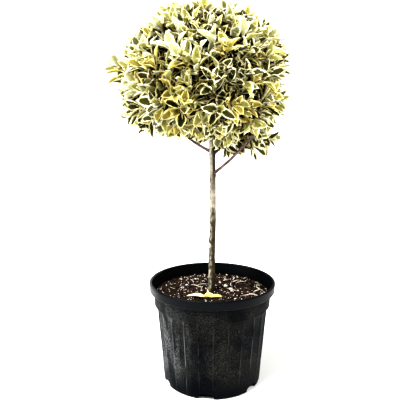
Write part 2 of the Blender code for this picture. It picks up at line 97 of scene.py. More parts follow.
# X, Y and size of each
PERLITE_LUMPS = ((0.033, 0.022, 0.0100), (0.0445, 0.001, 0.0090), (-0.062, 0.030, 0.0060))

# Trunk and boughs, by the rule of the solids
TRUNK_X = 0.0002
TRUNK_FOOT_RADIUS = 0.0080
TRUNK_TOP_RADIUS = 0.0062
TRUNK_TOP_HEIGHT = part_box("trunk")[1].z
TRUNK_WAVE = 0.0012
TRUNK_WAVE_LENGTH = 0.27
FLARE = 0.0028
FLARE_HEIGHT = 0.014
FLARE_LOBES = 4
FLARE_LOBE_DEPTH = 0.16
TRUNK_RINGS = 220
FORK_SWELL = 0.16
FORK_SWELL_HEIGHT = 0.009
SCAR_SWELL = 0.17
SCAR_SWELL_HEIGHT = 0.004
# Height and turn in radians of the healed stubs of lower shoots
SCARS = ((0.292, 0.6), (0.343, 2.9), (0.391, -1.2), (0.446, 1.9), (0.482, -2.4))
BOUGH_ROOT_RADIUS = 0.0034
BOUGH_TIP_RADIUS = 0.0027
BOUGH_BEND = 0.05
BOUGH_COLLAR = 0.0016
BOUGH_STEPS = 26
INNER_STEPS = 14
# Height of the fork, azimuth, then distance out and height of the tip
BOUGHS = {
    "low_left": (0.551, 180.0, 0.048, 0.592),
    "low_front": (0.578, -108.0, 0.047, 0.617),
    "low_front_right": (0.500, -23.0, 0.118, 0.596),
    "low_back_right": (0.545, 28.0, 0.076, 0.590),
    "low_back": (0.572, 108.0, 0.050, 0.612),
    "high_front_left": (0.622, -135.0, 0.054, 0.738),
    "high_front_right": (0.638, -45.0, 0.056, 0.744),
    "high_back_right": (0.630, 45.0, 0.054, 0.738),
    "high_back_left": (0.646, 135.0, 0.055, 0.746),
}

# Crown, by the rule of the solids
CROWN_CENTRE = Vector((-0.018, 0.0, 0.735))
CROWN_RADIUS = 0.207
CROWN_RISE = 0.148
CROWN_DROP = 0.160
CROWN_POWER_UP = 2.3
CROWN_POWER_DOWN = 3.0
# Azimuth and elevation of each swell or hollow, its gain and its width in degrees
LOBES = (
    (0.0, 0.0, -0.04, 20.0),
    (0.0, 24.0, -0.06, 20.0),
    (0.0, 48.0, -0.05, 20.0),
    (0.0, 72.0, 0.08, 20.0),
    (180.0, 84.0, -0.26, 20.0),
    (180.0, 60.0, 0.15, 20.0),
    (180.0, 36.0, -0.26, 20.0),
    (180.0, 12.0, -0.04, 20.0),
    (180.0, -1.0, 0.26, 12.0),
    (0.0, 10.0, 0.17, 11.0),
    (180.0, -36.0, 0.07, 20.0),
    (0.0, -72.0, 0.28, 20.0),
    (0.0, -46.0, 0.24, 22.0),
    (0.0, -24.0, -0.15, 18.0),
    (75.0, 8.0, 0.03, 26.0),
    (-80.0, 22.0, 0.03, 24.0),
    (-100.0, -35.0, 0.03, 22.0),
    (60.0, 42.0, -0.03, 22.0),
)
# Masses of each ring, the azimuth of its first one, its distance out and its height
RINGS = {
    "low_": (("left", "front", "front_right", "back_right", "back"), 180.0, 0.108, 0.682),
    "high_": (("front_left", "front_right", "back_right", "back_left"), -135.0, 0.108, 0.790),
}
TOP_HEIGHT = 0.822

# Twigs and leaves: the solids' main twigs, and the finer sprays that grow on from them
MAIN_TWIGS = 84
SPRAYS = 380
LEAF_LENGTH = 0.047
LEAF_WIDTH = 0.0195
LEAF_COLUMNS = 6
LEAF_ROWS = 8
LEAF_FORMS = 14
# Distance back from a shoot's tip, lean from it in degrees and size of each pair of leaves
LEAF_PAIRS = (
    (0.000, 10.0, 0.62),
    (0.002, 25.0, 0.90),
    (0.008, 39.0, 1.04),
    (0.018, 54.0, 1.04),
    (0.031, 72.0, 0.95),
)
# Share of young leaves in the first pair, of lowest colours in the last two, and of stray colours; the
# lowest colours include the deep palette's painted shade
YOUNG_SHARE = 0.50
LOWEST_SHARE = 0.75
STRAY_SHARE = 0.22
# Near-black leaves deep in the crown, as painted shade in its gaps
SHADE_LEAVES = 1500
SHADE_LEAF_FORMS = 5
SHADE_DEPTHS = (0.45, 0.72)
DARKEST_DEPTH = 0.64
CROWN_SEED = 47
# Radii at the start and end of each kind of twig
MAIN_TWIG_RADII = (0.0016, 0.0009)
FINE_TWIG_RADII = (0.0011, 0.0008)
SHOOT_RADII = (0.0009, 0.0008)
# Spread of the sprays' places and ways, their insets in leaf lengths, and their turn upwards
SPRAY_JITTER = 0.24
SPRAY_WANDER = 0.22
SPRAY_INSETS = (0.75, 1.45)
SPRAY_RISE = 0.90
# Place of a fine twig's fork along a main twig, and the twigs' and leaves' distances from the limbs
FORK_SHARES = (0.45, 0.75)
TWIG_CLEARANCE = 0.002
LEAF_CLEARANCE = 0.008
SHADE_LEAF_CLEARANCE = 0.010
GOLDEN_TURN = math.pi * (3.0 - math.sqrt(5.0))
UP = Vector((0.0, 0.0, 1.0))


# Selecting, shaping and finishing
def linked(name, data):
    """New object that shows the data, in the scene."""
    made = bpy.data.objects.new(name, data)
    bpy.context.scene.collection.objects.link(made)
    return made


def drawn(name, places, faces):
    """New object of a smooth mesh with these corners and faces."""
    mesh = bpy.data.meshes.new(name)
    mesh.from_pydata(places, [], faces)
    mesh.update()
    mesh.shade_smooth()
    return linked(name, mesh)


def pick(piece):
    """Select the piece alone and make it active."""
    bpy.ops.object.select_all(action="DESELECT")
    piece.select_set(True)
    bpy.context.view_layer.objects.active = piece


def edit(piece):
    """Open the piece's mesh with everything in it selected."""
    pick(piece)
    bpy.ops.object.mode_set(mode="EDIT")
    bpy.ops.mesh.select_all(action="SELECT")


def leave_edit():
    bpy.ops.object.mode_set(mode="OBJECT")


def apply_modifier(piece, kind, **settings):
    """Add a modifier with its settings and apply it."""
    pick(piece)
    added = piece.modifiers.new(kind.lower(), kind)
    for name, value in settings.items():
        setattr(added, name, value)
    bpy.ops.object.modifier_apply(modifier=added.name)


def settle(piece):
    """Put the piece's place, turn and size into its mesh."""
    pick(piece)
    bpy.ops.object.transform_apply(location=True, rotation=True, scale=True)


def reshape(piece, rule):
    """Move every vertex to where the rule sends it."""
    for vert in piece.data.vertices:
        vert.co = rule(vert.co)
    piece.data.update()


def face_out(piece):
    edit(piece)
    bpy.ops.mesh.normals_make_consistent(inside=False)
    leave_edit()


def smooth(piece, degrees):
    pick(piece)
    bpy.ops.object.shade_smooth_by_angle(angle=math.radians(degrees))


def dress(piece, name, finishes, slot, *nodes):
    """Name a finished piece, give it its materials, and let it stand for its nodes."""
    piece.name = name
    piece.data.name = name
    piece.data.materials.clear()
    for finish in finishes:
        piece.data.materials.append(finish)
    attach(piece, "root")
    if nodes:
        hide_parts(*nodes)


# Shader nodes, and the group that the finishes share
def add_node(tree, kind, inputs, **settings):
    """New shader node with its settings; each input takes a value, or a socket to link it to."""
    made = tree.nodes.new("ShaderNode" + kind)
    for name, value in settings.items():
        setattr(made, name, value)
    for key, value in inputs.items():
        if isinstance(value, bpy.types.NodeSocket):
            tree.links.new(value, made.inputs[key])
        else:
            made.inputs[key].default_value = value
    return made


def speckle_group():
    """Mask of grains or patches: noise at a scale, cut between a low and a high value."""
    tree = bpy.data.node_groups.new("speckle", "ShaderNodeTree")
    tree.interface.new_socket(name="Vector", in_out="INPUT", socket_type="NodeSocketVector")
    for name in ("Scale", "Detail", "Low", "High"):
        tree.interface.new_socket(name=name, in_out="INPUT", socket_type="NodeSocketFloat")
    tree.interface.new_socket(name="Mask", in_out="OUTPUT", socket_type="NodeSocketFloat")
    entry = tree.nodes.new("NodeGroupInput").outputs
    leave = tree.nodes.new("NodeGroupOutput")
    grain = add_node(tree, "TexNoise", {name: entry[name] for name in ("Vector", "Scale", "Detail")})
    limits = {"Value": grain.outputs["Fac"], "From Min": entry["Low"], "From Max": entry["High"]}
    cut = add_node(tree, "MapRange", limits, interpolation_type="SMOOTHSTEP")
    tree.links.new(cut.outputs["Result"], leave.inputs["Mask"])
    return tree


SPECKLE = speckle_group()


class Finish:
    """A material being put together: Object coordinates in, a Principled shader out."""

    def __init__(self, name, colour, roughness, shine=0.5):
        self.material = bpy.data.materials.new(name)
        self.material.use_nodes = True
        self.material.diffuse_color = (*colour, 1.0)
        self.tree = self.material.node_tree
        self.shader = self.tree.nodes["Principled BSDF"].inputs
        self.shader["Base Color"].default_value = (*colour, 1.0)
        self.shader["Roughness"].default_value = roughness
        self.shader["Specular IOR Level"].default_value = shine
        self.place = None

    def node(self, kind, inputs, **settings):
        return add_node(self.tree, kind, inputs, **settings).outputs

    def vector(self, upright=1.0):
        """Object coordinates; below 1, the pattern is drawn out up and down."""
        if self.place is None:
            self.place = self.node("TexCoord", {})["Object"]
        return self.node("Mapping", {"Vector": self.place, "Scale": (1.0, 1.0, upright)})["Vector"]

    def mask(self, scale, low, high, detail=4.0, upright=1.0):
        """Grains or patches, by the speckle group."""
        place = self.vector(upright)
        inputs = {"Vector": place, "Scale": scale, "Low": low, "High": high, "Detail": detail}
        return self.node("Group", inputs, node_tree=SPECKLE)["Mask"]

    def cut(self, value, low, high, kind="LINEAR"):
        """0 where a value is at low and 1 where it is at high, which may be the smaller one."""
        inputs = {"Value": value, "From Min": low, "From Max": high}
        return self.node("MapRange", inputs, interpolation_type=kind)["Result"]

    def axes(self):
        """Object coordinates one by one."""
        return self.node("SeparateXYZ", {"Vector": self.vector()})

    def axis_mask(self, axis, low, high):
        """0 at a low place along an axis and 1 at a high one, turned round where low is above high."""
        return self.cut(self.axes()[axis], low, high)

    def math(self, operation, first, second):
        """One Math node; each side is a socket or a number."""
        return self.node("Math", {0: first, 1: second}, operation=operation)["Value"]

    def both(self, first, *others):
        """Product of masks and numbers."""
        for other in others:
            first = self.math("MULTIPLY", first, other)
        return first

    def rib_mask(self, half_width):
        """1 on the lines that stand every RIB_STEP round the pot, 0 beside them."""
        axes = self.axes()
        turn = self.math("ARCTAN2", axes["Y"], axes["X"])
        off = self.math("PINGPONG", self.both(turn, 180.0 / (math.pi * RIB_STEP)), 0.5)
        return self.cut(off, half_width / RIB_STEP, 0.0, "SMOOTHSTEP")

    def mix(self, under, over, *masks):
        """Colour over where all the masks are 1, and colour under where one of them is 0."""
        under, over = [(*colour, 1.0) if isinstance(colour, tuple) else colour for colour in (under, over)]
        inputs = {"Factor": self.both(*masks), "A": under, "B": over}
        return self.node("Mix", inputs, data_type="RGBA")["Result"]

    def drive(self, name, socket):
        self.tree.links.new(socket, self.shader[name])

    def colour(self, socket):
        self.drive("Base Color", socket)

    def level(self, name, mask, least, most):
        """Value of one of the shader's inputs: least where the mask is 0 and most where it is 1."""
        self.drive(name, self.node("MapRange", {"Value": mask, "To Min": least, "To Max": most})["Result"])

    def bump(self, mask, depth):
        relief = self.node("Bump", {"Height": mask, "Distance": depth, "Strength": 1.0})
        self.drive("Normal", relief["Normal"])


# Finishes
def pot_finish():
    """Black plastic, darker and bluish at the foot: clean lip, sandy splashes, grey dust with painted light
    on the left side, painted highlights along the ribs and at the lip's far left.
    """
    finish = Finish("pot_plastic", (0.0030, 0.0036, 0.0048), 0.45, 0.05)
    below_ledge = finish.axis_mask("Z", LEDGE_HEIGHT, LEDGE_HEIGHT - 0.006)
    lip = finish.axis_mask("Z", POT_HEIGHT - LIP_DEPTH - 0.002, POT_HEIGHT - LIP_DEPTH + 0.002)
    clouds = finish.mask(9.0, 0.40, 0.62, 3.0)
    black = finish.mix((0.0016, 0.0022, 0.0036), (0.0030, 0.0038, 0.0050), clouds)
    patches = finish.mask(11.0, 0.36, 0.60, 3.0)
    sandy = finish.mix(black, (0.019, 0.0185, 0.015), patches, finish.mask(430.0, 0.44, 0.60))
    # Grey dust, more of it down the left side as painted light from the left
    left = finish.axis_mask("X", -0.045, -0.115)
    lower = finish.math("ADD", finish.both(below_ledge, 0.6), 0.4)
    streaks = finish.mask(42.0, 0.40, 0.62, 4.0, 0.30)
    dust_and_left_light = finish.mix(sandy, (0.135, 0.140, 0.144), left, lower, streaks, finish.mask(360.0, 0.44, 0.58))
    # Painted highlights along the rib lines: strongest on the left, less on the right, faint between
    right = finish.both(finish.axis_mask("X", 0.055, 0.085), 0.6)
    sides = finish.math("MAXIMUM", finish.axis_mask("X", -0.030, -0.062), right)
    faint = finish.math("ADD", finish.both(sides, 0.80), 0.12)
    rib_glints = finish.both(finish.rib_mask(0.55), finish.mask(60.0, 0.40, 0.54, 3.0, 0.25))
    rib_glinted = finish.mix(dust_and_left_light, (0.150, 0.165, 0.170), rib_glints, below_ledge, faint)
    specks = finish.both(finish.mask(620.0, 0.57, 0.66, 2.0), finish.mask(17.0, 0.36, 0.60, 3.0))
    specked = finish.mix(rib_glinted, (0.085, 0.085, 0.078), specks, 0.6)
    clean_lip = finish.mix(specked, black, lip)
    # Painted highlight on the lip at its far left
    lip_highlight = finish.mix(clean_lip, (0.090, 0.094, 0.098), finish.axis_mask("X", -0.120, -0.150), lip, 0.7)
    foot = finish.axis_mask("Z", 0.065, 0.015)
    finish.colour(finish.mix(lip_highlight, (0.0008, 0.0015, 0.0030), foot, 0.85))
    finish.level("Roughness", lip, 0.48, 0.36)
    finish.level("Specular IOR Level", lip, 0.03, 0.09)
    finish.bump(finish.mask(700.0, 0.35, 0.65, 3.0), 0.00012)
    return finish.material


def compost_finish():
    finish = Finish("compost", (0.012, 0.008, 0.006), 0.95, 0.12)
    crumbs = finish.mask(260.0, 0.42, 0.62, 5.0)
    brown = finish.mix((0.003, 0.0025, 0.002), (0.026, 0.015, 0.010), crumbs)
    fibres = finish.mix(brown, (0.075, 0.034, 0.021), finish.mask(95.0, 0.54, 0.66), 0.7)
    finish.colour(finish.mix(fibres, (0.36, 0.30, 0.22), finish.mask(480.0, 0.64, 0.71, 3.0), 0.8))
    finish.bump(finish.mask(330.0, 0.30, 0.70, 6.0), 0.0015)
    return finish.material


def trunk_finish():
    """Olive-dark bark low down and beige above, with pale lichen and painted light on the left side, and
    painted shade down the right side.
    """
    finish = Finish("trunk_bark", (0.16, 0.14, 0.10), 0.85, 0.25)
    low = finish.mix((0.050, 0.042, 0.022), (0.150, 0.130, 0.078), finish.mask(90.0, 0.42, 0.60))
    high = finish.mix((0.235, 0.205, 0.160), (0.400, 0.362, 0.300), finish.mask(70.0, 0.40, 0.62))
    height = finish.axis_mask("Z", 0.385, 0.440)
    ragged = finish.math("ADD", height, finish.both(finish.mask(60.0, 0.40, 0.60, 3.0, 0.4), 0.5))
    bark = finish.mix(low, high, finish.math("GREATER_THAN", ragged, 0.75))
    # Pale grey lichen, more of it on the lit left side as painted light
    lit_side = finish.math("ADD", finish.axis_mask("X", 0.001, -0.006), 0.15)
    grey = finish.mix(bark, (0.43, 0.40, 0.33), finish.mask(190.0, 0.48, 0.58, 4.0, 0.5), lit_side)
    cracked = finish.mix(grey, (0.050, 0.038, 0.024), finish.mask(150.0, 0.56, 0.66, 5.0, 0.22), 0.8)
    specked = finish.mix(cracked, (0.022, 0.019, 0.014), finish.mask(420.0, 0.60, 0.68, 2.0))
    # Painted shade down the right side, low down and under the crown
    low_shade = finish.both(finish.axis_mask("X", -0.0042, 0.0005), finish.axis_mask("Z", 0.43, 0.37), 0.80)
    near_top = finish.axis_mask("Z", 0.440, 0.505)
    top_shade = finish.both(finish.axis_mask("X", -0.0025, 0.0018), near_top, 0.95)
    painted_shade_side = finish.math("MAXIMUM", low_shade, top_shade)
    shadowed = finish.mix(specked, (0.022, 0.017, 0.010), painted_shade_side)
    # Darker towards the compost
    near_soil = finish.axis_mask("Z", SOIL_HEIGHT + 0.040, SOIL_HEIGHT)
    finish.colour(finish.mix(shadowed, (0.035, 0.031, 0.018), near_soil, 0.6))
    finish.bump(finish.mask(260.0, 0.30, 0.70, 6.0, 0.35), 0.0006)
    return finish.material


def bough_finish():
    finish = Finish("bough_bark", (0.12, 0.075, 0.062), 0.75, 0.3)
    brown = finish.mix((0.060, 0.034, 0.029), (0.165, 0.105, 0.088), finish.mask(120.0, 0.40, 0.62))
    finish.colour(finish.mix(brown, (0.34, 0.29, 0.25), finish.mask(300.0, 0.58, 0.68, 3.0)))
    finish.bump(finish.mask(380.0, 0.30, 0.70, 5.0), 0.0004)
    return finish.material


def plain_finish(name, colour, roughness, shine=0.5):
    return Finish(name, colour, roughness, shine).material


# Leaf colours of each palette, in the order of ZONES: margin, splashes between, middle
PALETTES = {
    "cream": ((0.91, 0.86, 0.62), (0.34, 0.32, 0.12), (0.055, 0.055, 0.016)),
    "olive": ((0.91, 0.86, 0.58), (0.54, 0.51, 0.21), (0.330, 0.320, 0.105)),
    "grey": ((0.92, 0.89, 0.71), (0.46, 0.46, 0.28), (0.180, 0.192, 0.105)),
    "white": ((0.92, 0.90, 0.77), (0.80, 0.78, 0.56), (0.50, 0.50, 0.28)),
    "gold": ((0.91, 0.82, 0.43), (0.72, 0.61, 0.20), (0.33, 0.285, 0.07)),
    "young": ((0.91, 0.87, 0.63), (0.72, 0.70, 0.38), (0.50, 0.49, 0.20)),
    # The deep and shade palettes are painted shade for the crown's inner and lowest leaves
    "deep": ((0.76, 0.65, 0.28), (0.14, 0.118, 0.026), (0.014, 0.016, 0.004)),
    "shade": ((0.11, 0.09, 0.020), (0.008, 0.008, 0.003), (0.003, 0.003, 0.002)),
}
FALLEN_LIFT = 0.0045
FALLEN_PALETTES = {
    "cream": ((0.70, 0.66, 0.42), (0.64, 0.60, 0.36), (0.58, 0.54, 0.28)),
    "yellow": ((0.74, 0.66, 0.26), (0.70, 0.60, 0.17), (0.66, 0.56, 0.14)),
}
ZONES = ("margin", "splash", "middle")
# Share of each palette among the sprays on the lit side and on the shaded side, as painted light and
# painted shade, and the palettes of most of their lowest leaves
LIT_WEIGHTS = {"cream": 0.10, "olive": 0.32, "grey": 0.10, "white": 0.43, "gold": 0.05}
LIT_LOWER = ("gold", "cream", "olive", "deep")
SHADED_WEIGHTS = {"cream": 0.44, "olive": 0.25, "grey": 0.11, "white": 0.07, "gold": 0.13}
SHADED_LOWER = ("gold", "deep", "deep")
# A spray is pale, as painted light, where its way out of the crown leans enough towards the lit side
LIGHT_SIDE = Vector((-0.42, -0.10, 0.90))
LIGHT_LEAST = 0.16
LIGHT_SPREAD = 0.22


def leaf_finishes(kind, palettes):
    """Plain finishes, one for each zone of each palette, in the order of the palettes."""
    return [plain_finish(f"{kind}_{palette}_{zone}", colour, 0.5, 0.07)
            for palette, colours in palettes.items() for zone, colour in zip(ZONES, colours)]


def first_slots(palettes):
    """Number of the first finish of each palette among its leaf_finishes."""
    return {palette: len(ZONES) * number for number, palette in enumerate(palettes)}


# Round bodies drawn ring by ring
def turned(profile, sides, start=0.0):
    """Circle extruded and resized along (radius, height) stations, both ends filled."""
    radius, height = profile[0]
    bpy.ops.mesh.primitive_circle_add(vertices=sides, radius=radius, location=(0, 0, height),
                                      rotation=(0, 0, math.radians(start)))
    piece = bpy.context.active_object
    edit(piece)
    for (near, low), (far, high) in zip(profile, profile[1:]):
        bpy.ops.mesh.extrude_region_move(TRANSFORM_OT_translate={"value": (0, 0, high - low)})
        bpy.ops.transform.resize(value=(far / near, far / near, 1.0))
    bpy.ops.mesh.edge_face_add()
    bpy.ops.mesh.select_all(action="DESELECT")
    bpy.ops.mesh.select_non_manifold()
    bpy.ops.mesh.edge_face_add()
    bpy.ops.mesh.select_all(action="SELECT")
    bpy.ops.mesh.normals_make_consistent(inside=False)
    leave_edit()
    settle(piece)
    return piece


def arc(centre, radius, start, end, steps):
    turns = [math.radians(start + (end - start) * i / steps) for i in range(steps + 1)]
    return [(centre[0] + radius * math.cos(t), centre[1] + radius * math.sin(t)) for t in turns]


def step_up(value, low, high):
    """0 below low, 1 above high, smooth between."""
    share = max(0.0, min(1.0, (value - low) / (high - low)))
    return share * share * (3.0 - 2.0 * share)


def wall_radius(height):
    share = (height - BASE_CORNER) / (LEDGE_HEIGHT - BASE_CORNER)
    return BODY_FOOT_RADIUS + (BODY_TOP_RADIUS - BODY_FOOT_RADIUS) * share


def pot_profile():
    lip_foot = POT_HEIGHT - LIP_DEPTH
    lip_round = 0.5 * (LIP_RADIUS - LIP_INNER_RADIUS)
    lip_middle = (LIP_INNER_RADIUS + lip_round, POT_HEIGHT - lip_round)
    body = [(wall_radius(z), z) for z in np.linspace(0.016, LEDGE_HEIGHT - LEDGE_DROP, 22)]
    ledge = [
        (wall_radius(LEDGE_HEIGHT) + 0.0008, LEDGE_HEIGHT - 0.5 * LEDGE_DROP),
        (COLLAR_FOOT_RADIUS - 0.0016, LEDGE_HEIGHT - 0.0006),
        (COLLAR_FOOT_RADIUS, LEDGE_HEIGHT + 0.0012),
    ]
    collar = [
        (COLLAR_FOOT_RADIUS + 0.0007, 0.5 * (LEDGE_HEIGHT + lip_foot)),
        (COLLAR_TOP_RADIUS - 0.0004, lip_foot - 0.0040),
        (COLLAR_TOP_RADIUS + 0.0012, lip_foot - 0.0022),
    ]
    lip = [
        (LIP_RADIUS - LIP_FLARE - 0.0014, lip_foot - 0.0004),
        (LIP_RADIUS - LIP_FLARE, lip_foot + 0.0014),
        (LIP_RADIUS - 0.5 * LIP_FLARE, lip_foot + 0.5 * LIP_DEPTH),
        *arc(lip_middle, lip_round, 0.0, 180.0, 10),
    ]
    inside = [
        (LIP_INNER_RADIUS - 0.0022, POT_HEIGHT - 0.010),
        (COLLAR_TOP_RADIUS - WALL, lip_foot),
        (COLLAR_FOOT_RADIUS - WALL, LEDGE_HEIGHT),
        (BODY_TOP_RADIUS - WALL, LEDGE_HEIGHT - LEDGE_DROP),
        (BODY_FOOT_RADIUS - WALL, FOOT_RING_HEIGHT),
        (FOOT_RING_INNER_RADIUS, FOOT_RING_HEIGHT),
        (FOOT_RING_INNER_RADIUS, FLOOR),
        (MIDDLE_RADIUS, FLOOR),
    ]
    corner = arc((BODY_FOOT_RADIUS - BASE_CORNER, BASE_CORNER), BASE_CORNER, -90.0, 0.0, 6)
    return [(MIDDLE_RADIUS, 0.0), *corner, *body, *ledge, *collar, *lip, *inside]


def flute(place):
    """Draw the wall in between its rib lines, most in the middle of its height."""
    out = math.hypot(place.x, place.y)
    if out < wall_radius(place.z) - 0.5 * WALL or place.z > LEDGE_HEIGHT - 0.5 * LEDGE_DROP:
        return place
    turn = (math.degrees(math.atan2(place.y, place.x)) - RIB_START) / RIB_STEP
    hollow = abs(math.sin(math.pi * turn)) ** FLUTE_POWER
    rise = step_up(place.z, 0.030, 0.075) * (1.0 - step_up(place.z, 0.176, 0.187))
    shrink = 1.0 - FLUTE_DEPTH * hollow * rise / out
    return Vector((place.x * shrink, place.y * shrink, place.z))


def notch_cutter(number):
    """Block with its upper corners rounded, through the foot of the wall."""
    turn = math.radians(NOTCH_START + number * 360.0 / NOTCH_COUNT)
    out = BODY_FOOT_RADIUS - NOTCH_DEPTH + 0.5 * NOTCH_LENGTH
    bpy.ops.mesh.primitive_cube_add(size=1.0)
    cutter = bpy.context.active_object
    cutter.scale = (NOTCH_LENGTH, NOTCH_WIDTH, 2.0 * NOTCH_HEIGHT)
    settle(cutter)
    edit(cutter)
    bpy.ops.mesh.select_mode(type="EDGE")
    bpy.ops.mesh.select_all(action="DESELECT")
    leave_edit()
    for edge in cutter.data.edges:
        ends = [cutter.data.vertices[v].co for v in edge.vertices]
        edge.select = all(end.z > 0.0 for end in ends) and abs(ends[0].x - ends[1].x) > 0.5 * NOTCH_LENGTH
    bpy.ops.object.mode_set(mode="EDIT")
    bpy.ops.mesh.bevel(offset=0.6 * NOTCH_HEIGHT, segments=5)
    leave_edit()
    cutter.rotation_euler = (0.0, 0.0, turn)
    cutter.location = (out * math.cos(turn), out * math.sin(turn), 0.0)
    settle(cutter)
    return cutter


def make_pot():
    pot = turned(pot_profile(), POT_SIDES, RIB_START)
    reshape(pot, flute)
    for number in range(NOTCH_COUNT):
        cutter = notch_cutter(number)
        apply_modifier(pot, "BOOLEAN", operation="DIFFERENCE", solver="EXACT", object=cutter)
        bpy.data.objects.remove(cutter)
    smooth(pot, 32.0)
    inner_finish = plain_finish("pot_inside", (0.0022, 0.0026, 0.0032), 0.5, 0.05)
    dress(pot, "pot_shell", [pot_finish(), inner_finish], "pot", "pot")
    inside = []
    for face in pot.data.polygons:
        facing_in = face.normal.x * face.center.x + face.normal.y * face.center.y < 0.0
        inside.append(int(facing_in and face.center.z < POT_HEIGHT - INSIDE_DROP))
    deal_slots(pot, inside)


# Compost, and the chips, grit and strands that lie on it
def soil_level(out):
    """Height of the compost's top at a distance from the middle, before its lumps."""
    edge = step_up(out, 0.105, 0.137)
    return SOIL_HEIGHT - SOIL_EDGE_DROP * edge


def make_compost():
    rim = COLLAR_TOP_RADIUS - WALL - 0.0012
    rings = [(out, soil_level(out)) for out in np.linspace(rim, 0.003, SOIL_RINGS)]
    lower = [
        (MIDDLE_RADIUS, FLOOR + SOIL_GAP),
        (FOOT_RING_INNER_RADIUS - SOIL_GAP, FLOOR + SOIL_GAP),
        (FOOT_RING_INNER_RADIUS - SOIL_GAP, FOOT_RING_HEIGHT + SOIL_GAP),
        (BODY_FOOT_RADIUS - WALL - SOIL_GAP, FOOT_RING_HEIGHT + SOIL_GAP),
        (BODY_TOP_RADIUS - WALL - 0.0006, LEDGE_HEIGHT - LEDGE_DROP),
        (COLLAR_FOOT_RADIUS - WALL - 0.0006, LEDGE_HEIGHT + 0.001),
        (rim, SOIL_HEIGHT - 0.012),
    ]
    compost = turned(lower + rings, SOIL_SIDES)
    top = compost.vertex_groups.new(name="top")
    raised = [v.index for v in compost.data.vertices if v.co.z > SOIL_HEIGHT - 2.0 * SOIL_EDGE_DROP]
    top.add(raised, 1.0, "REPLACE")
    for size, height in SOIL_LUMPS:
        clouds = bpy.data.textures.new("lumps", "CLOUDS")
        clouds.noise_scale = size
        clouds.noise_depth = 3
        apply_modifier(compost, "DISPLACE", texture=clouds, direction="Z", strength=height,
                       mid_level=0.5, vertex_group="top", texture_coords="LOCAL")
    smooth(compost, 60.0)
    dress(compost, "compost", [compost_finish()], "compost", "soil")


def as_template(piece, zones=None):
    """Corner places, faces and zone of each face of a piece that is modelled once and then copied."""
    mesh = piece.data
    places = np.empty(len(mesh.vertices) * 3)
    mesh.vertices.foreach_get("co", places)
    faces = [tuple(face.vertices) for face in mesh.polygons]
    kept = (places.reshape(-1, 3), faces, zones or [0] * len(faces))
    bpy.data.objects.remove(piece)
    return kept


def joined(templates, copies):
    """One object from many copies: each a template's number, an origin, three axes and a first slot."""
    places, faces, slots = [], [], []
    count = 0
    for kind, origin, axes, first_slot in copies:
        template_places, template_faces, zones = templates[kind]
        turn = np.array([axes[0], axes[1], axes[2]])
        places.append(template_places @ turn + np.array(origin))
        faces += [tuple(count + corner for corner in face) for face in template_faces]
        slots += [first_slot + zone for zone in zones]
        count += len(template_places)
    return drawn("joined", np.concatenate(places).tolist(), faces), slots


def deal_slots(piece, slots):
    piece.data.polygons.foreach_set("material_index", slots)
    piece.data.update()


def chip_template(seed):
    """Flake of bark: a lump flattened, with its corners pushed about."""
    bpy.ops.mesh.primitive_ico_sphere_add(subdivisions=1, radius=0.5)
    chip = bpy.context.active_object
    edit(chip)
    bpy.ops.transform.vertex_random(offset=0.24, seed=seed)
    leave_edit()
    return as_template(chip)


def strand_template(bend):
    """Dry strand: a narrow strip, a little folded and bent."""
    bpy.ops.mesh.primitive_grid_add(x_subdivisions=2, y_subdivisions=7, size=1.0)
    strand = bpy.context.active_object

    def curve(place):
        along = place.y + 0.5
        width = 0.055 * math.sin(math.pi * (0.12 + 0.8 * along))
        return Vector((place.x * width + bend * math.sin(2.4 * along), place.y,
                       0.05 * math.sin(5.0 * along) + 0.02 * (1.0 - abs(2.0 * place.x))))

    reshape(strand, curve)
    return as_template(strand)


def axes_of(along, up, length, width, height):
    """Side, along and up axes of a copy, each as long as the copy is that way."""
    along = along.normalized()
    side = along.cross(up).normalized()
    return side * width, along * length, side.cross(along) * height


def spots_on_soil(chance, count, least=0.012):
    """Places on the compost, spread evenly from a least distance off the trunk to the wall."""
    for _ in range(count):
        out = math.sqrt(chance.uniform(least ** 2, LITTER_REACH ** 2))
        turn = chance.uniform(0.0, math.tau)
        yield Vector((TRUNK_X + out * math.cos(turn), out * math.sin(turn), soil_level(out)))


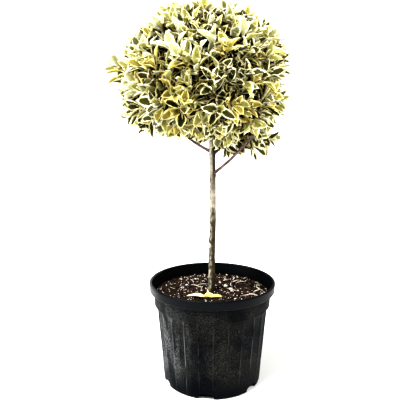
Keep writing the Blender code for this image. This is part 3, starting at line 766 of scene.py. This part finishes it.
def make_litter():
    chance = random.Random(LITTER_SEED)
    chips = [chip_template(seed) for seed in range(CHIP_FORMS)]
    copies = []
    for spot in spots_on_soil(chance, CHIP_COUNT):
        along = Vector((chance.uniform(-1, 1), chance.uniform(-1, 1), chance.uniform(-0.45, 0.45)))
        tilt = Vector((chance.uniform(-0.5, 0.5), chance.uniform(-0.5, 0.5), 1.0))
        length = 0.0028 + 0.0090 * chance.random() ** 2.2
        width = length * chance.uniform(0.25, 0.6)
        axes = axes_of(along, tilt, length, width, length * chance.uniform(0.10, 0.28))
        lift = chance.uniform(0.0002, 0.0022) * UP
        slot = chance.choices(range(4), CHIP_SHARES)[0]
        copies.append((chance.randrange(CHIP_FORMS), spot + lift, axes, slot))
    for spot in spots_on_soil(chance, GRIT_COUNT):
        along = Vector((chance.uniform(-1, 1), chance.uniform(-1, 1), 0.2))
        size = chance.uniform(0.0014, 0.0030)
        axes = axes_of(along, UP, size, size * 0.8, size * 0.7)
        copies.append((chance.randrange(CHIP_FORMS), spot + 0.0020 * UP, axes, 4))
    for x, y, size in PERLITE_LUMPS:
        axes = axes_of(Vector((1.0, 0.4, 0.1)), UP, size, size * 0.9, size * 0.8)
        copies.append((3, Vector((x, y, SOIL_HEIGHT + 0.003)), axes, 4))
    litter, slots = joined(chips, copies)
    dress(litter, "bark_chips", [
        plain_finish("chip_dark", (0.010, 0.007, 0.005), 0.95, 0.15),
        plain_finish("chip_brown", (0.036, 0.020, 0.014), 0.9, 0.2),
        plain_finish("chip_red", (0.088, 0.042, 0.028), 0.9, 0.2),
        plain_finish("chip_pale", (0.58, 0.51, 0.41), 0.9, 0.2),
        plain_finish("perlite", (0.80, 0.77, 0.68), 0.9),
    ], "compost", "soil")
    deal_slots(litter, slots)
    strands = [strand_template(bend) for bend in STRAND_BENDS]
    copies = []
    for spot in spots_on_soil(chance, STRAND_COUNT, STRAND_LEAST):
        along = Vector((chance.uniform(-1, 1), chance.uniform(-1, 1), chance.uniform(-0.06, 0.06)))
        length = chance.uniform(0.012, 0.034)
        axes = axes_of(along, UP, length, length * chance.choice((0.9, 1.3, 2.0)), 0.7 * length)
        copies.append((chance.randrange(len(strands)), spot + 0.0026 * UP, axes, 0))
    straw, slots = joined(strands, copies)
    dress(straw, "dry_strands", [plain_finish("straw", (0.70, 0.62, 0.50), 0.8)], "compost", "soil")


# Trunk and boughs
def trunk_axis(height):
    turn = math.tau * (height - SOIL_HEIGHT) / TRUNK_WAVE_LENGTH
    return Vector((TRUNK_X - TRUNK_WAVE * math.sin(turn), TRUNK_WAVE * math.sin(0.7 * turn), height))


def trunk_radius(height, turn=0.0):
    share = (height - SOIL_HEIGHT) / (TRUNK_TOP_HEIGHT - SOIL_HEIGHT)
    flare = math.exp(-(height - SOIL_HEIGHT) / FLARE_HEIGHT)
    plain = TRUNK_FOOT_RADIUS + (TRUNK_TOP_RADIUS - TRUNK_FOOT_RADIUS) * share + FLARE * flare
    return plain * (1.0 + FLARE_LOBE_DEPTH * flare * math.cos(FLARE_LOBES * turn))


def limb(points, radii, bevel_steps):
    """Round limb along points, each with its radius, made a mesh with closed ends."""
    curve = bpy.data.curves.new("limb", "CURVE")
    curve.dimensions = "3D"
    curve.bevel_depth = 1.0
    curve.bevel_resolution = bevel_steps
    curve.use_fill_caps = True
    spline = curve.splines.new("POLY")
    spline.points.add(len(points) - 1)
    for knot, point, radius in zip(spline.points, points, radii):
        knot.co = (*point, 1.0)
        knot.radius = radius
    pick(linked("limb", curve))
    bpy.ops.object.convert(target="MESH")
    made = bpy.context.active_object
    edit(made)
    bpy.ops.mesh.remove_doubles(threshold=0.00001)
    leave_edit()
    face_out(made)
    return made


def bark_relief(place, middle, scale):
    """Push a point of bark out or in: long ridges, small warts and fine grain."""
    away = place - middle
    if away.length < 0.0001:
        return place
    ridges = noise.noise(Vector((place.x * 330.0, place.y * 330.0, place.z * 55.0)))
    warts = noise.noise(place * 150.0)
    grain = noise.noise(place * 700.0)
    push = scale * (0.00042 * ridges + 0.00055 * max(0.0, warts - 0.15) + 0.00016 * grain)
    return place + away.normalized() * push


def make_trunk():
    heights = np.linspace(SOIL_HEIGHT - 0.004, TRUNK_TOP_HEIGHT, TRUNK_RINGS)
    points = [trunk_axis(z) for z in heights]
    trunk = limb(points, [1.0] * len(points), 18)
    forks = [(BOUGHS[name][0], math.radians(BOUGHS[name][1])) for name in BOUGHS]

    def shape(place):
        middle = trunk_axis(place.z)
        away = place - middle
        away.z = 0.0
        if away.length < 0.01:
            return place
        turn = math.atan2(away.y, away.x)
        swell = 1.0
        for height, side in forks:
            near = math.exp(-((place.z - height) / FORK_SWELL_HEIGHT) ** 2)
            swell += FORK_SWELL * near * (0.6 + 0.4 * math.cos(turn - side))
        for height, side in SCARS:
            near = math.exp(-((place.z - height) / SCAR_SWELL_HEIGHT) ** 2)
            swell += SCAR_SWELL * near * max(0.0, math.cos(turn - side)) ** 3
        foot = max(place.z, SOIL_HEIGHT)
        spot = middle + away.normalized() * trunk_radius(foot, turn) * swell
        return bark_relief(spot, middle, 1.0)

    reshape(trunk, shape)
    face_out(trunk)
    smooth(trunk, 70.0)
    dress(trunk, "bark_trunk", [trunk_finish()], "trunk_bark", "trunk")


def polar(azimuth, out, height):
    """Place at an azimuth and a distance from the crown's upright axis."""
    turn = math.radians(azimuth)
    return Vector((CROWN_CENTRE.x + out * math.cos(turn), CROWN_CENTRE.y + out * math.sin(turn), height))


def bough_path(name, steps):
    """Middle line of a bough, from the trunk's axis to its tip, bending upwards on the way."""
    start = trunk_axis(BOUGHS[name][0])
    tip = polar(*BOUGHS[name][1:])
    bend = -BOUGH_BEND * UP * (tip - start).length
    shares = [i / steps for i in range(steps + 1)]
    return [start.lerp(tip, share) + bend * 4.0 * share * (1.0 - share) for share in shares]


def curved(start, control, end, steps):
    """Points of a bend that leaves start towards control and comes into end from it."""
    points = []
    for i in range(steps + 1):
        share = i / steps
        points.append(start.lerp(control, share).lerp(control.lerp(end, share), share))
    return points


def make_boughs():
    """Each bough from the trunk to its mass, and on through the mass to its heart."""
    finish = bough_finish()
    for name in BOUGHS:
        path = bough_path(name, BOUGH_STEPS)
        onward = (path[-1] - path[-2]).normalized()
        whole = path + curved(path[-1], path[-1] + onward * 0.03, HEARTS[name], INNER_STEPS)[1:]
        radii = []
        for i, point in enumerate(whole):
            share = min(1.0, i / BOUGH_STEPS)
            collar = BOUGH_COLLAR * math.exp(-((point - path[0]).length - 0.004) / 0.006)
            taper = 1.0 if i <= BOUGH_STEPS else 1.0 - 0.45 * (i - BOUGH_STEPS) / INNER_STEPS
            plain = BOUGH_ROOT_RADIUS + (BOUGH_TIP_RADIUS - BOUGH_ROOT_RADIUS) * share
            radii.append(taper * plain + min(collar, BOUGH_COLLAR))
        bough = limb(whole, radii, 6)
        places = np.array([tuple(point) for point in whole])

        def shape(place):
            middle = Vector(places[((places - np.array(place)) ** 2).sum(1).argmin()])
            return bark_relief(place, middle, 0.7)

        reshape(bough, shape)
        smooth(bough, 70.0)
        dress(bough, "bark_bough_" + name, [finish], "bough_bark", "bough_" + name)


# Crown
def reach(direction):
    """Distance from the crown's middle to its outline along a unit direction."""
    level = math.hypot(direction.x, direction.y) / CROWN_RADIUS
    rise = CROWN_RISE if direction.z > 0 else CROWN_DROP
    power = CROWN_POWER_UP if direction.z > 0 else CROWN_POWER_DOWN
    plain = (level ** power + (abs(direction.z) / rise) ** power) ** (-1.0 / power)
    swell = 1.0
    for azimuth, elevation, gain, width in LOBES:
        flat = math.cos(math.radians(elevation))
        pole = Vector((flat * math.cos(math.radians(azimuth)), flat * math.sin(math.radians(azimuth)),
                       math.sin(math.radians(elevation))))
        off = math.degrees(math.acos(max(-1.0, min(1.0, pole.dot(direction)))))
        swell += gain * math.exp(-(off / width) ** 2)
    return plain * swell


def depth_in_crown(point):
    """0 at the crown's middle, 1 on its outline."""
    away = point - CROWN_CENTRE
    return away.length / reach(away.normalized())


def mass_hearts():
    """Middle of each mass of foliage, by name."""
    hearts = {}
    for ring, (names, start, out, height) in RINGS.items():
        for number, name in enumerate(names):
            hearts[ring + name] = polar(start + number * 360.0 / len(names), out, height)
    hearts["top"] = Vector((CROWN_CENTRE.x, CROWN_CENTRE.y, TOP_HEIGHT))
    return hearts


HEARTS = mass_hearts()


def nearest_mass(point):
    return min(HEARTS, key=lambda name: (HEARTS[name] - point).length)


def even_directions(count):
    """Directions spread evenly over a sphere by the golden turn."""
    for number in range(count):
        rise = 1.0 - 2.0 * (number + 0.5) / count
        level = math.sqrt(1.0 - rise * rise)
        turn = GOLDEN_TURN * number
        yield Vector((level * math.cos(turn), level * math.sin(turn), rise))


def limb_segments():
    """Short straight pieces of the trunk and the boughs: start, end and radius."""
    heights = [SOIL_HEIGHT + (TRUNK_TOP_HEIGHT - SOIL_HEIGHT) * i / 12 for i in range(13)]
    segments = [(trunk_axis(a), trunk_axis(b), trunk_radius(a)) for a, b in zip(heights, heights[1:])]
    for name in BOUGHS:
        path = bough_path(name, 5)
        segments += [(a, b, BOUGH_ROOT_RADIUS) for a, b in zip(path, path[1:])]
    return segments


LIMBS = limb_segments()


def clear_of_limbs(point, margin):
    """Whether a point keeps a margin to the bark of every limb."""
    for start, end, radius in LIMBS:
        along = end - start
        share = max(0.0, min(1.0, (point - start).dot(along) / along.length_squared))
        if (start + along * share - point).length < radius + margin:
            return False
    return True


# Leaves, modelled once in several forms and copied
def leaf_half_width(share):
    """Half width of a leaf, as a share of its largest, from stalk to tip: widest past the middle."""
    stalk, slim = 0.06, 0.09
    if share < stalk:
        return slim
    blade = (share - stalk) / (1.0 - stalk)
    return slim * (1.0 - blade) + math.sin(math.pi * blade ** 1.08) ** 0.98


def leaf_template(seed, columns=LEAF_COLUMNS, rows=LEAF_ROWS):
    """Leaf one unit long and wide: a grid drawn to the outline, folded, curled and waved."""
    chance = random.Random(seed)
    bpy.ops.mesh.primitive_grid_add(x_subdivisions=columns, y_subdivisions=rows, size=1.0)
    leaf = bpy.context.active_object
    fold = chance.uniform(0.14, 0.38)
    curl = chance.uniform(-0.10, 0.16)
    twist = chance.uniform(-0.22, 0.22)
    sway = chance.uniform(-0.07, 0.07)
    wave = chance.uniform(0.02, 0.06)
    phase = chance.uniform(0.0, math.tau)
    middle_edge = chance.uniform(0.50, 0.62)
    margin_edge = chance.uniform(0.72, 0.80)
    if columns < LEAF_COLUMNS:
        middle_edge = margin_edge
    ragged = {}

    def shape(place):
        share = place.y + 0.5
        u = 2.0 * place.x
        column = round((u + 1.0) * 0.5 * columns)
        if 0 < column < columns and 2 * column != columns:
            line = middle_edge if min(column, columns - column) == 2 else margin_edge
            key = (column, round(share * rows))
            ragged.setdefault(key, chance.uniform(-0.09, 0.09))
            u = math.copysign(line + ragged[key], u)
        half_width = leaf_half_width(share)
        across = u * 0.5 * half_width
        lean = twist * (share - 0.3)
        rise = fold * abs(across) - curl * max(0.0, share - 0.15) ** 2
        rise += wave * math.sin(9.0 * share + phase + (2.0 if u > 0 else 0.0)) * u * u * half_width
        return Vector((across + sway * math.sin(math.pi * share), share, rise + across * math.sin(lean)))

    reshape(leaf, shape)
    edit(leaf)
    bpy.ops.mesh.remove_doubles(threshold=0.0001)
    leave_edit()
    zones = []
    for face in leaf.data.polygons:
        column = face.index % columns
        edge_steps = min(column, columns - 1 - column)
        row = face.index // columns
        zone = edge_steps if columns == LEAF_COLUMNS else min(2, 2 * edge_steps)
        if zone == 1:
            zone = chance.choices((0, 1, 2), (0.22, 0.46, 0.32))[0]
        if row in (0, rows - 1) and zone == 2:
            zone = chance.choice((0, 1))
        zones.append(zone)
    return as_template(leaf, zones)


def leaf_pairs(tip, onward, pale, chance):
    """Foot, way it points, way it faces, size and palette of each leaf of a shoot, in opposite pairs."""
    weights = LIT_WEIGHTS if pale else SHADED_WEIGHTS
    lowest = LIT_LOWER if pale else SHADED_LOWER

    def any_palette():
        return chance.choices(list(weights), list(weights.values()))[0]

    own = any_palette()
    side = onward.cross(UP)
    if side.length < 0.05:
        side = Vector((1.0, 0.0, 0.0))
    side.normalize()
    up = side.cross(onward).normalized()
    turn = chance.uniform(0.0, math.pi)
    for number, (back, lean, size) in enumerate(LEAF_PAIRS[:chance.choice((4, 5, 5))]):
        node = tip - onward * back
        for half_turn in (0.0, math.pi):
            around = turn + half_turn + chance.uniform(-0.3, 0.3)
            out = math.cos(around) * side + math.sin(around) * up
            slant = math.radians(lean + chance.uniform(-10.0, 10.0))
            along = math.cos(slant) * onward + math.sin(slant) * out
            face = onward - onward.dot(along) * along + 0.18 * UP
            scale = size * chance.uniform(0.85, 1.12)
            palette = own
            if number == 0 and chance.random() < YOUNG_SHARE:
                palette = "young"
            elif number > 2 and chance.random() < LOWEST_SHARE:
                palette = chance.choice(lowest)
            elif chance.random() < STRAY_SHARE:
                palette = any_palette()
            yield node, along, face, scale, palette
        turn += 0.5 * math.pi


def spray_tips(chance):
    """Mass, tip and direction of every fine shoot, a leaf or so inside the crown's outline."""
    step = math.sqrt(4.0 * math.pi / SPRAYS)
    for direction in even_directions(SPRAYS):
        jitter = Vector([chance.gauss(0.0, SPRAY_JITTER * step) for _ in range(3)])
        direction = (direction + jitter).normalized()
        inset = LEAF_LENGTH * chance.uniform(*SPRAY_INSETS)
        tip = CROWN_CENTRE + direction * (reach(direction) - inset)
        wander = Vector([chance.gauss(0.0, SPRAY_WANDER) for _ in range(3)])
        onward = (direction + SPRAY_RISE * (1.0 - abs(direction.z)) * UP + wander).normalized()
        yield nearest_mass(tip), tip, onward


def main_twigs():
    """The solids' twigs: mass, start in its heart and tip."""
    twigs = []
    for direction in even_directions(MAIN_TWIGS):
        tip = CROWN_CENTRE + direction * (reach(direction) - LEAF_LENGTH)
        name = nearest_mass(tip)
        twigs.append((name, HEARTS[name], tip))
    return twigs


class Tubes:
    """Many thin tubes gathered into one mesh."""

    def __init__(self):
        self.places = []
        self.faces = []

    def add(self, path, radii, sides):
        first = len(self.places)
        last = len(path) - 1
        for i, point in enumerate(path):
            along = (path[min(i + 1, last)] - path[max(i - 1, 0)]).normalized()
            side = along.cross(UP)
            side = side.normalized() if side.length > 0.01 else Vector((1.0, 0.0, 0.0))
            up = side.cross(along)
            radius = radii[0] + (radii[1] - radii[0]) * i / last
            for k in range(sides):
                turn = math.tau * k / sides
                self.places.append(tuple(point + radius * (math.cos(turn) * side + math.sin(turn) * up)))
        for i in range(last):
            for k in range(sides):
                a, b = first + i * sides + k, first + i * sides + (k + 1) % sides
                self.faces.append((a, b, b + sides, a + sides))
        self.faces.append(tuple(first + k for k in reversed(range(sides))))
        self.faces.append(tuple(first + last * sides + k for k in range(sides)))

    def piece(self):
        return drawn("tubes", self.places, self.faces)


def grow_twigs(chance, wood, shoots):
    """Draw the twigs and shoots of every mass, and give the mass, tip and direction of each shoot."""
    twigs = main_twigs()
    for name, heart, tip in twigs:
        wood[name].add(curved(heart, heart.lerp(tip, 0.5) - 0.006 * UP, tip, 5), MAIN_TWIG_RADII, 5)
    for name, tip, onward in spray_tips(chance):
        own = [twig for twig in twigs if twig[0] == name]
        _, heart, main_tip = min(own, key=lambda twig: (twig[2] - tip).length)
        fork = heart.lerp(main_tip, chance.uniform(*FORK_SHARES))
        path = curved(fork, tip - onward * 0.45 * (tip - fork).length, tip, 6)
        if all(clear_of_limbs(point, TWIG_CLEARANCE) for point in path):
            wood[name].add(path[:4], FINE_TWIG_RADII, 4)
            shoots[name].add(path[3:], SHOOT_RADII, 4)
            yield name, tip, onward


def spray_leaves(chance, tip, onward):
    """Foot, axes and palette of each leaf of a spray that keeps to the crown and off the limbs."""
    # Paler palettes towards the lit side and darker ones elsewhere: painted light and shade
    toward_light = (tip - CROWN_CENTRE).normalized().dot(LIGHT_SIDE) + chance.gauss(0.0, LIGHT_SPREAD)
    for node, along, face, scale, palette in leaf_pairs(tip, onward, toward_light > LIGHT_LEAST, chance):
        length = LEAF_LENGTH * scale
        if depth_in_crown(node + along * length) > 1.0:
            length *= 0.8
        waist = node + along * 0.55 * length
        if depth_in_crown(node + along * length) > 1.03:
            continue
        if clear_of_limbs(waist, LEAF_CLEARANCE):
            width = LEAF_WIDTH * scale * chance.uniform(0.86, 1.14)
            yield node, axes_of(along, face, length, width, length), palette


def shade_leaves(chance):
    """Foot, axes and palette of the broad dark leaves that stand deep in the crown as painted shade."""
    for direction in even_directions(SHADE_LEAVES):
        depth = chance.uniform(*SHADE_DEPTHS)
        node = CROWN_CENTRE + direction * reach(direction) * depth
        along = direction.cross(Vector([chance.gauss(0.0, 1.0) for _ in range(3)])).normalized()
        along = (along + 0.3 * direction).normalized()
        length = LEAF_LENGTH * chance.uniform(0.9, 1.15)
        if not clear_of_limbs(node + along * 0.5 * length, SHADE_LEAF_CLEARANCE):
            continue
        palette = "shade" if depth < DARKEST_DEPTH or chance.random() < 0.6 else "deep"
        axes = axes_of(along, direction + 0.4 * UP, length, 1.15 * LEAF_WIDTH, length)
        yield node, axes, palette


def make_crown(templates):
    """Twigs, shoots and leaves of every mass, each kind joined to one piece per mass."""
    chance = random.Random(CROWN_SEED)
    shade_templates = [leaf_template(100 + seed, 4, 5) for seed in range(SHADE_LEAF_FORMS)]
    finishes = leaf_finishes("leaf", PALETTES)
    slot = first_slots(PALETTES)
    wood = {name: Tubes() for name in HEARTS}
    shoots = {name: Tubes() for name in HEARTS}
    outer = {name: [] for name in HEARTS}
    inner = {name: [] for name in HEARTS}
    for name, tip, onward in grow_twigs(chance, wood, shoots):
        for node, axes, palette in spray_leaves(chance, tip, onward):
            outer[name].append((chance.randrange(len(templates)), node, axes, slot[palette]))
    for node, axes, palette in shade_leaves(chance):
        copy = (chance.randrange(len(shade_templates)), node, axes, slot[palette])
        inner[nearest_mass(node)].append(copy)
    green_shoot = plain_finish("green_shoot", (0.33, 0.33, 0.10), 0.55)
    brown_twig = plain_finish("brown_twig", (0.10, 0.055, 0.032), 0.8)
    for name in HEARTS:
        node = "foliage_" + name
        dress(wood[name].piece(), "twigs_" + name, [brown_twig], "bough_bark", node)
        dress(shoots[name].piece(), "shoots_" + name, [green_shoot], "leaves", node)
        for kind, forms, copies in (("", templates, outer), ("shade_", shade_templates, inner)):
            leaves, slots = joined(forms, copies[name])
            dress(leaves, kind + "leaves_" + name, finishes, "leaves", node)
            deal_slots(leaves, slots)


def make_fallen_leaves(templates):
    """The cream and yellow leaves that lie on the compost in front of the trunk."""
    slot = first_slots(FALLEN_PALETTES)
    lift = SOIL_HEIGHT + FALLEN_LIFT
    laid = (
        # Middle, azimuth, slope upwards, length, width, palette
        ((-0.035, -0.054, lift), 174.0, 0.05, 0.052, 0.0125, "cream"),
        ((0.003, -0.057, lift + 0.001), -4.0, 0.05, 0.037, 0.0120, "yellow"),
        ((-0.010, -0.052, lift + 0.003), 24.0, 0.10, 0.024, 0.0110, "yellow"),
        ((-0.011, -0.047, lift + 0.006), 100.0, 1.50, 0.015, 0.0045, "cream"),
    )
    copies = []
    for number, (middle, azimuth, slope, length, width, palette) in enumerate(laid):
        turn = math.radians(azimuth)
        along = Vector((math.cos(turn), math.sin(turn), slope)).normalized()
        axes = axes_of(along, Vector((0.1, -0.25, 1.0)), length, width, 0.5 * length)
        start = Vector(middle) - along * 0.5 * length
        copies.append((3 * number % len(templates), start, axes, slot[palette]))
    fallen, slots = joined(templates, copies)
    dress(fallen, "fallen_leaves", leaf_finishes("fallen", FALLEN_PALETTES), "leaves")
    deal_slots(fallen, slots)


# Floor, light and camera
WHITE = (1.0, 1.0, 1.0, 1.0)
SKY_LIGHT = 0.49
SUN_LIGHT = 5.3
SUN_PLACE = (-0.74, -0.56, 1.26)
SUN_SOFTNESS = 28.0
FLOOR_RADIUS = 90.0
FLOOR_DROP = 0.0004
CAMERA_PLACE = (-0.029, -1.209, 0.643)
CAMERA_PITCH = 9.59
CAMERA_LENS = 47.26
SENSOR_WIDTH = 36.0


def make_stage():
    bpy.ops.mesh.primitive_circle_add(vertices=96, radius=FLOOR_RADIUS, fill_type="NGON",
                                      location=(0, 0, -FLOOR_DROP))
    floor = bpy.context.active_object
    floor.name = "floor"
    floor.data.materials.append(plain_finish("pale_floor", (0.90, 0.90, 0.89), 0.9))
    world = bpy.data.worlds.new("soft_white")
    bpy.context.scene.world = world
    world.use_nodes = True
    tree = world.node_tree
    soft = tree.nodes["Background"]
    soft.inputs["Color"].default_value = WHITE
    soft.inputs["Strength"].default_value = SKY_LIGHT
    seen = add_node(tree, "Background", {"Color": WHITE}).outputs["Background"]
    straight = add_node(tree, "LightPath", {}).outputs["Is Camera Ray"]
    either = add_node(tree, "MixShader", {"Fac": straight, 1: soft.outputs["Background"], 2: seen})
    tree.links.new(either.outputs["Shader"], tree.nodes["World Output"].inputs["Surface"])


def add_lamp(name, place, target, size, power, colour, mirrored=True):
    bpy.ops.object.light_add(type="AREA", location=place)
    lamp = bpy.context.active_object
    lamp.name = name
    lamp.data.size = size
    lamp.data.energy = power
    lamp.data.color = colour
    lamp.rotation_euler = (Vector(target) - Vector(place)).to_track_quat("-Z", "Y").to_euler()
    lamp.visible_glossy = mirrored


def make_lights():
    bpy.ops.object.light_add(type="SUN", location=(-1.3, -1.5, 2.3))
    sun = bpy.context.active_object
    sun.name = "key_light"
    sun.data.energy = SUN_LIGHT
    sun.data.angle = math.radians(SUN_SOFTNESS)
    sun.rotation_euler = Vector(SUN_PLACE).to_track_quat("Z", "Y").to_euler()
    add_lamp("side_light", (-1.7, -0.5, 0.9), (0.0, 0.0, 0.4), 0.9, 15.0, (0.97, 0.99, 1.0))
    add_lamp("fill_light", (1.5, -1.1, 1.7), (0.0, 0.0, 0.74), 1.2, 41.0, (1.0, 0.99, 0.96), mirrored=False)


def make_camera():
    bpy.ops.object.camera_add(location=CAMERA_PLACE, rotation=(math.radians(90.0 - CAMERA_PITCH), 0, 0))
    camera = bpy.context.active_object
    camera.data.sensor_width = SENSOR_WIDTH
    camera.data.lens = CAMERA_LENS
    camera.data.clip_start = 0.05
    bpy.context.scene.camera = camera
    bpy.context.scene.view_settings.view_transform = "Standard"
    bpy.context.scene.view_settings.look = "High Contrast"


def main():
    make_camera()
    make_stage()
    make_lights()
    make_pot()
    make_compost()
    make_litter()
    make_trunk()
    make_boughs()
    templates = [leaf_template(seed) for seed in range(LEAF_FORMS)]
    make_crown(templates)
    make_fallen_leaves(templates)


main()
